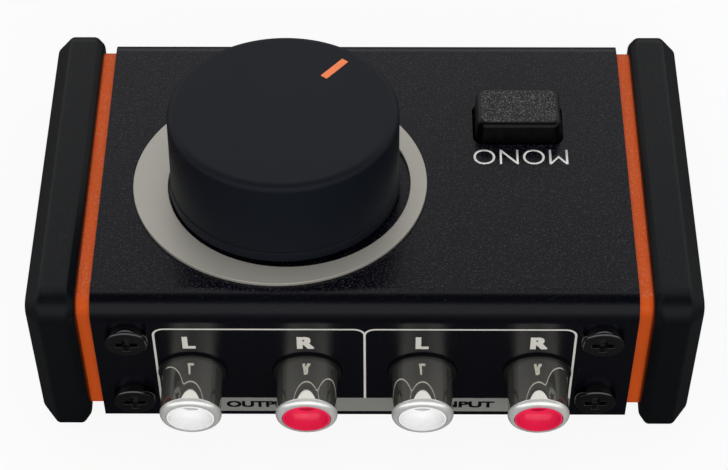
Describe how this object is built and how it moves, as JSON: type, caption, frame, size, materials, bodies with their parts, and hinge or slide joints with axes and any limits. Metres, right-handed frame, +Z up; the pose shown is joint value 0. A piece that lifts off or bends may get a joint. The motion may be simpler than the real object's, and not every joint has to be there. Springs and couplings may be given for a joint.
{
  "type": "monitor controller",
  "caption": "Passive desktop monitor controller: sloping steel housing with a large volume knob, a mono push button and phono sockets on the rear.",
  "frame": {"origin": "under the middle of the unit's bounding box, on the surface that it stands on", "axes": "+Z up; +Y out of the rear panel with the sockets, so the user sits at -Y; +X towards the side with the knob"},
  "size_m": [0.089, 0.0618, 0.0406],
  "materials": {
    "cover_black": "fine powder coat",
    "panel_orange": "fine powder coat",
    "cheek_black": "matt moulded",
    "screw_black": "black oxide",
    "zinc_steel": "zinc plated",
    "knob_black": "satin",
    "pointer_orange": "inlaid",
    "ring_silver": "fine brushed",
    "cap_black": "fine grain",
    "shell_nickel": "bright nickel",
    "insulator_white": "gloss",
    "insulator_red": "gloss",
    "block_black": "moulded",
    "contact_brass": "plated",
    "board_green": "solder mask",
    "header_black": "moulded",
    "resistor_blue": "lacquered",
    "pot_steel": "pressed",
    "track_brown": "phenolic with carbon film",
    "wiper_white": "moulded",
    "switch_grey": "moulded"
  },
  "bodies": {
    "housing": {"top_cover": "cover_black", "bottom_plate": "cover_black", "end_panel_right": "panel_orange", "cheek_right": "cheek_black", "cheek_screw_right_front": "zinc_steel", "cheek_screw_right_rear": "zinc_steel", "rear_screw_right_low": "screw_black", "rear_screw_right_high": "screw_black", "bottom_screw_right_rear": "screw_black", "bottom_screw_right_front": "screw_black", "end_panel_left": "panel_orange", "cheek_left": "cheek_black", "cheek_screw_left_front": "zinc_steel", "cheek_screw_left_rear": "zinc_steel", "rear_screw_left_low": "screw_black", "rear_screw_left_high": "screw_black", "bottom_screw_left_rear": "screw_black", "bottom_screw_left_front": "screw_black", "main_board": "board_green", "board_standoffs": "zinc_steel", "board_screws": "zinc_steel", "control_board": "board_green", "link_header": "header_black", "link_pins": "contact_brass", "summing_resistors": "resistor_blue", "output_left_block": "block_black", "output_left_shell": "shell_nickel", "output_left_insulator": "insulator_white", "output_left_contact": "contact_brass", "output_right_block": "block_black", "output_right_shell": "shell_nickel", "output_right_insulator": "insulator_red", "output_right_contact": "contact_brass", "input_left_block": "block_black", "input_left_shell": "shell_nickel", "input_left_insulator": "insulator_white", "input_left_contact": "contact_brass", "input_right_block": "block_black", "input_right_shell": "shell_nickel", "input_right_insulator": "insulator_red", "input_right_contact": "contact_brass", "pot_case": "pot_steel", "pot_track": "track_brown", "pot_bushing": "pot_steel", "pot_terminals": "zinc_steel", "pot_washer": "zinc_steel", "pot_nut": "zinc_steel", "trim_ring": "ring_silver", "switch_case": "switch_grey", "switch_spring": "zinc_steel", "switch_pins": "zinc_steel"},
    "knob": {"knob_shell": "knob_black", "knob_hub": "contact_brass", "knob_pointer": "pointer_orange", "pot_shaft": "pot_steel", "pot_wiper": "wiper_white"},
    "mono_button": {"mono_cap": "cap_black", "switch_plunger": "wiper_white"}
  },
  "joints": [
    {"name": "knob_turn", "type": "hinge", "parent": "housing", "child": "knob", "pos_m": [0.0109, 0.00065, 0.02374], "axis": [0, 0.225, -0.9744], "range_deg": [0, 282]},
    {"name": "mono_press", "type": "slide", "parent": "housing", "child": "mono_button", "axis": [0, 0.225, -0.9744], "range_m": [0, 0.0018], "stiffness_N_per_m": 900, "springref_m": -0.0005, "deforming": ["switch_spring"]}
  ]
}
